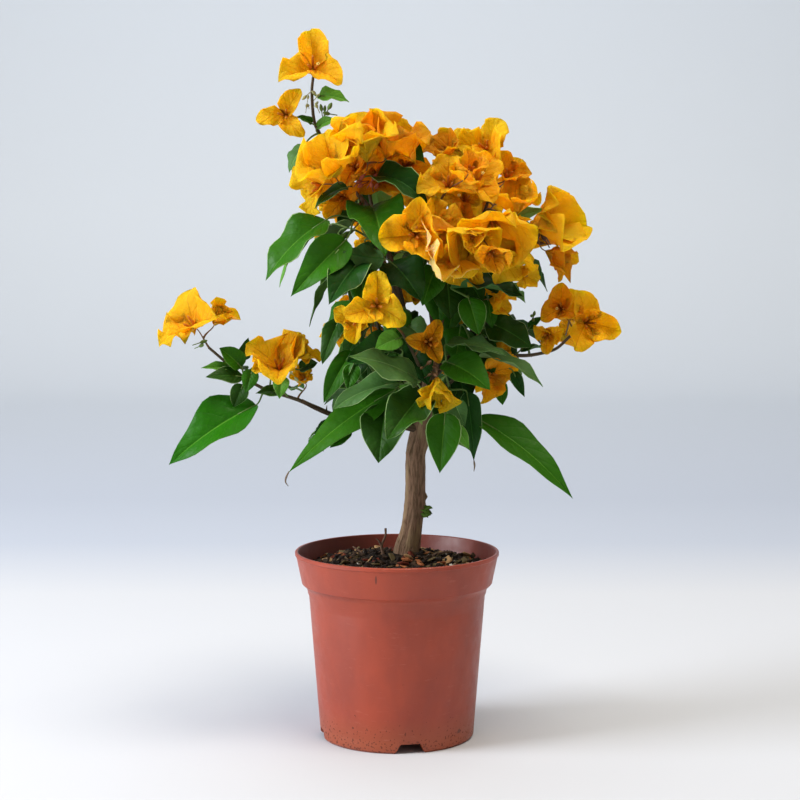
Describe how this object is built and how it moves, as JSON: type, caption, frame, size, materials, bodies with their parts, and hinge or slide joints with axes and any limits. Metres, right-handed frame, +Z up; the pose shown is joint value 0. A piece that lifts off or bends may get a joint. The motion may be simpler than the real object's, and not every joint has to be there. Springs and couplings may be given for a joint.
{
  "type": "potted bougainvillea bush",
  "caption": "Small bougainvillea bush with golden bracts, a bare leaning trunk and long side sprigs, growing in a round plastic nursery pot.",
  "frame": {"origin": "centre of the pot's flat underside, on the level it stands on", "axes": "+Z up along the pot's axis, the plant's front looks along -Y, +X to the right as seen from the front"},
  "size_m": [0.3351, 0.204, 0.5136],
  "materials": {
    "pot_plastic": "satin terracotta-coloured plastic",
    "soil": "coarse dry potting mix",
    "bark": "rough striated bark",
    "foliage": "glossy green leaves and papery golden bracts"
  },
  "bodies": {
    "root": {"bough_back_left": "bark", "bough_back_right": "bark", "bough_back_upper": "bark", "bough_low_left": "bark", "bough_low_right": "bark", "bough_mid_left": "bark", "bough_top": "bark", "bough_upper_left": "bark", "bough_upper_right": "bark", "foliage_back_left": "foliage", "foliage_back_low": "foliage", "foliage_back_right": "foliage", "foliage_back_upper": "foliage", "foliage_centre": "foliage", "foliage_left": "foliage", "foliage_left_sprig": "foliage", "foliage_low_left": "foliage", "foliage_low_right": "foliage", "foliage_right": "foliage", "foliage_right_sprig": "foliage", "foliage_top_sprig": "foliage", "foliage_upper_left": "foliage", "pot": "pot_plastic", "soil": "soil", "trunk": "bark"}
  },
  "joints": []
}
